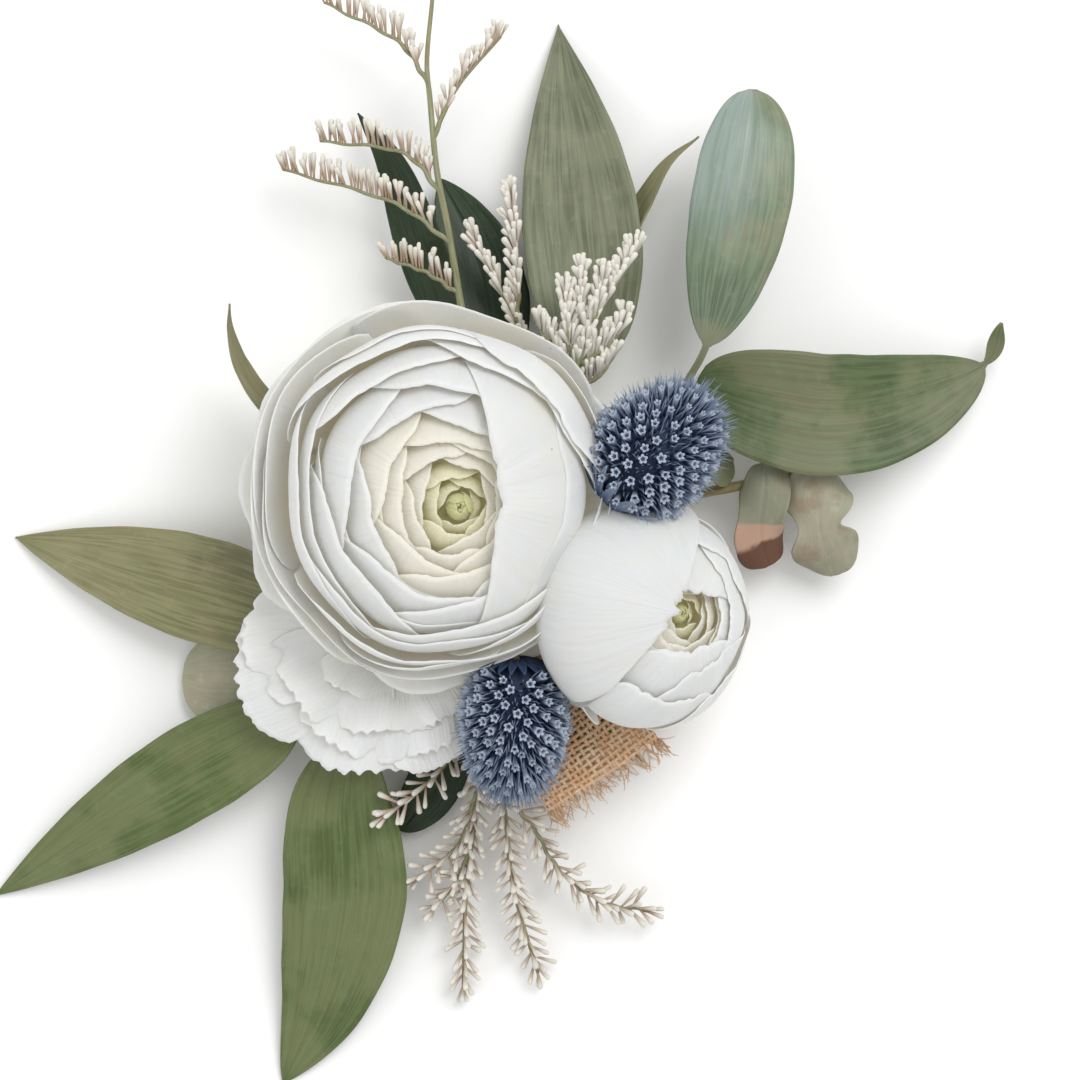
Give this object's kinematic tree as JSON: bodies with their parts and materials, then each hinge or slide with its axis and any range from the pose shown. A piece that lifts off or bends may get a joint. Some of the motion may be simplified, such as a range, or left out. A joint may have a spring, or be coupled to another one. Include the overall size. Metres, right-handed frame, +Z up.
{
  "type": "boutonniere",
  "caption": "Rustic wedding boutonniere of white ranunculus, blue thistle, statice and green leaves, its stems bound with tape and wrapped in a short burlap sleeve, lying on its back.",
  "frame": {"origin": "on the flat underside of the burlap sleeve, near its neck, where the boutonniere lies on the surface", "axes": "+Z up out of the flowers, +Y towards the tallest statice sprig, and the burlap sleeve points down (-Y) and to the right (+X)"},
  "size_m": [0.175, 0.1912, 0.0427],
  "materials": {
    "petal": "soft matt ivory petal",
    "heart": "yellow-green folded young petals",
    "leaf": "semi-gloss ribbed ruscus leaf",
    "dark_leaf": "semi-gloss dark ruscus leaf",
    "eucalyptus": "matt grey-green eucalyptus leaf",
    "stem": "smooth green stem",
    "thistle": "spiny steel-blue flower head",
    "statice": "papery cream florets on a thin stem",
    "tape": "waxed crepe floral tape",
    "burlap": "loose-woven jute with a frayed edge"
  },
  "bodies": {
    "root": {"burlap_wrap": "burlap", "carnation_heart": "petal", "carnation_petal_1": "petal", "carnation_petal_2": "petal", "carnation_petal_3": "petal", "carnation_petal_4": "petal", "carnation_stem": "stem", "eucalyptus_leaf_curled": "eucalyptus", "eucalyptus_leaf_folded": "eucalyptus", "eucalyptus_leaf_left": "eucalyptus", "eucalyptus_leaf_small": "eucalyptus", "eucalyptus_stem": "stem", "floral_tape": "tape", "large_ranunculus_calyx": "stem", "large_ranunculus_heart": "heart", "large_ranunculus_petal_01": "petal", "large_ranunculus_petal_02": "petal", "large_ranunculus_petal_03": "petal", "large_ranunculus_petal_04": "petal", "large_ranunculus_petal_05": "petal", "large_ranunculus_petal_06": "petal", "large_ranunculus_petal_07": "petal", "large_ranunculus_petal_08": "petal", "large_ranunculus_petal_09": "petal", "large_ranunculus_stem": "stem", "lower_thistle_head": "thistle", "lower_thistle_ruff": "thistle", "lower_thistle_stem": "stem", "ruscus_leaf_behind_centre": "leaf", "ruscus_leaf_bottom": "leaf", "ruscus_leaf_dark_bottom": "dark_leaf", "ruscus_leaf_dark_left": "dark_leaf", "ruscus_leaf_dark_right": "dark_leaf", "ruscus_leaf_left_lower": "leaf", "ruscus_leaf_left_sliver": "leaf", "ruscus_leaf_left_upper": "leaf", "ruscus_leaf_right": "leaf", "ruscus_leaf_top_centre": "leaf", "ruscus_leaf_top_right": "leaf", "ruscus_stem_bottom": "stem", "ruscus_stem_left": "stem", "ruscus_stem_lower_left": "stem", "ruscus_stem_right": "stem", "ruscus_stem_sliver": "stem", "ruscus_stem_top": "stem", "small_ranunculus_heart": "heart", "small_ranunculus_petal_01": "petal", "small_ranunculus_petal_02": "petal", "small_ranunculus_petal_03": "petal", "small_ranunculus_petal_04": "petal", "small_ranunculus_petal_05": "petal", "small_ranunculus_stem": "stem", "statice_sprig_back": "statice", "statice_sprig_lower_left": "statice", "statice_sprig_lower_right": "statice", "statice_sprig_middle": "statice", "statice_sprig_top": "statice", "upper_thistle_head": "thistle", "upper_thistle_ruff": "thistle", "upper_thistle_stem": "stem"}
  },
  "joints": []
}
